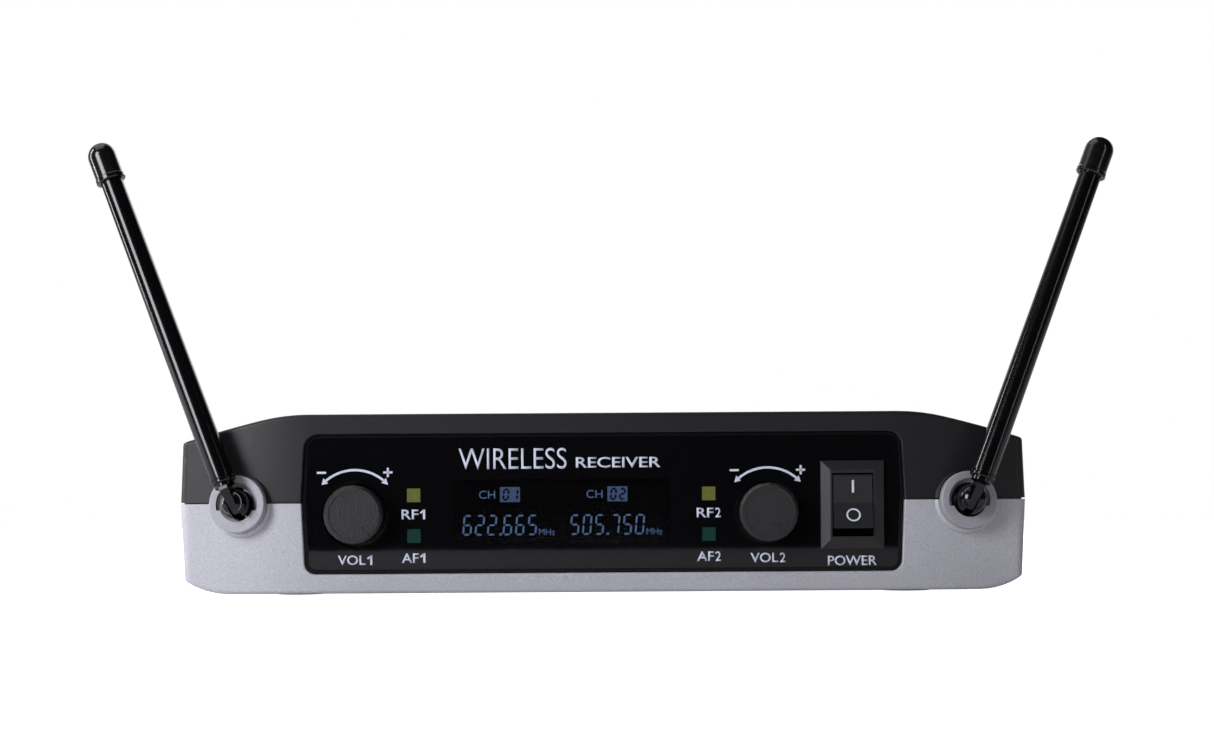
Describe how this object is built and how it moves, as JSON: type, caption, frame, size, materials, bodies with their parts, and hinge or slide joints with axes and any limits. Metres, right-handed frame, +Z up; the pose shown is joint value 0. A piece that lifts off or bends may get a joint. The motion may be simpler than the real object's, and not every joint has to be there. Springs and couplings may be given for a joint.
{
  "type": "wireless receiver unit",
  "caption": "Slim desktop wireless microphone receiver with glossy front panel, volume knobs, rocker switch, small display and hinged front antennas.",
  "frame": {"origin": "centre of the whole object's footprint, on the surface that the rubber feet stand on", "axes": "+Z up, the front panel faces -Y, +X to the right as seen from the front"},
  "size_m": [0.247, 0.1493, 0.1093],
  "materials": {
    "black_cover": "fine textured black ABS",
    "silver_cover": "satin silver paint on ABS",
    "black_plastic": "satin black",
    "panel_black": "semi-gloss black",
    "gloss_lens": "polished black acrylic",
    "smoked_window": "smoked, polished",
    "display_glass": "dark liquid crystal glass",
    "white_plastic": "matt white",
    "rf_pipe": "clear olive yellow",
    "af_pipe": "clear dark green",
    "circuit_board": "green solder mask",
    "knob_black": "sand-textured black",
    "switch_black": "fine textured black",
    "antenna_black": "glossy black",
    "tip_rubber": "satin black",
    "foot_rubber": "matt black",
    "silver_ring": "satin silver paint",
    "steel": "plain",
    "black_steel": "blackened",
    "brass": "plain",
    "tin_can": "tinned",
    "nickel": "nickel plated",
    "cable_black": "satin black",
    "cable_grey": "satin grey"
  },
  "bodies": {
    "chassis": {"af_light_pipe_1": "af_pipe", "af_light_pipe_2": "af_pipe", "antenna_lead_left": "cable_black", "antenna_lead_right": "cable_black", "antenna_ring_left": "silver_ring", "antenna_ring_right": "silver_ring", "board_capacitors": "cable_black", "board_chips": "black_plastic", "board_screws": "steel", "bottom_cover": "silver_cover", "case_screws": "black_steel", "dc_inlet": "black_plastic", "dc_inlet_pin": "nickel", "display_window": "smoked_window", "fascia_lens": "gloss_lens", "front_board": "circuit_board", "front_fascia": "panel_black", "indicator_leds": "white_plastic", "lcd_light_box": "white_plastic", "lcd_panel": "display_glass", "main_board": "circuit_board", "mix_jack": "black_plastic", "mix_jack_nut": "nickel", "mix_jack_washer": "nickel", "power_switch_frame": "switch_black", "rear_panel": "black_plastic", "receiver_module_1": "tin_can", "receiver_module_2": "tin_can", "rf_light_pipe_1": "rf_pipe", "rf_light_pipe_2": "rf_pipe", "ribbon_cable": "cable_grey", "rubber_feet": "foot_rubber", "switch_terminals": "brass", "top_cover": "black_cover", "volume_pot_1": "black_plastic", "volume_pot_2": "black_plastic", "xlr_contacts": "nickel", "xlr_screws": "black_steel", "xlr_socket_1": "black_plastic", "xlr_socket_2": "black_plastic"},
    "volume_1": {"volume_knob_1": "knob_black", "volume_shaft_1": "nickel"},
    "volume_2": {"volume_knob_2": "knob_black", "volume_shaft_2": "nickel"},
    "rocker": {"power_rocker": "switch_black"},
    "left_swivel": {"antenna_nut_left": "nickel", "antenna_swivel_left": "antenna_black", "hinge_pin_left": "steel"},
    "left_rod": {"antenna_element_left": "steel", "antenna_neck_left": "antenna_black", "antenna_sleeve_left": "antenna_black", "antenna_tip_left": "tip_rubber"},
    "right_swivel": {"antenna_nut_right": "nickel", "antenna_swivel_right": "antenna_black", "hinge_pin_right": "steel"},
    "right_rod": {"antenna_element_right": "steel", "antenna_neck_right": "antenna_black", "antenna_sleeve_right": "antenna_black", "antenna_tip_right": "tip_rubber"}
  },
  "joints": [
    {"name": "left_antenna_turn", "type": "hinge", "parent": "chassis", "child": "left_swivel", "pos_m": [-0.0865, -0.06592, 0.0218], "axis": [-0.173, -0.9811, 0.0872], "range_deg": [-115.2, 70.8]},
    {"name": "left_antenna_fold", "type": "hinge", "parent": "left_swivel", "child": "left_rod", "pos_m": [-0.08719, -0.06985, 0.02215], "axis": [0.9175, -0.1283, 0.3764], "range_deg": [0, 90]},
    {"name": "right_antenna_turn", "type": "hinge", "parent": "chassis", "child": "right_swivel", "pos_m": [0.0865, -0.06592, 0.0218], "axis": [0.173, -0.9811, 0.0872], "range_deg": [-70.8, 115.2]},
    {"name": "right_antenna_fold", "type": "hinge", "parent": "right_swivel", "child": "right_rod", "pos_m": [0.08719, -0.06985, 0.02215], "axis": [0.9175, 0.1283, -0.3764], "range_deg": [0, 90]},
    {"name": "volume_1_turn", "type": "hinge", "parent": "chassis", "child": "volume_1", "pos_m": [-0.0591, -0.0721, 0.0194], "axis": [0, -1, 0], "range_deg": [-15, 285]},
    {"name": "volume_2_turn", "type": "hinge", "parent": "chassis", "child": "volume_2", "pos_m": [0.0392, -0.0721, 0.0194], "axis": [0, -1, 0], "range_deg": [-15, 285]},
    {"name": "power_tilt", "type": "hinge", "parent": "chassis", "child": "rocker", "pos_m": [0.0593, -0.0666, 0.021], "axis": [1, 0, 0], "range_deg": [0, 25]}
  ]
}
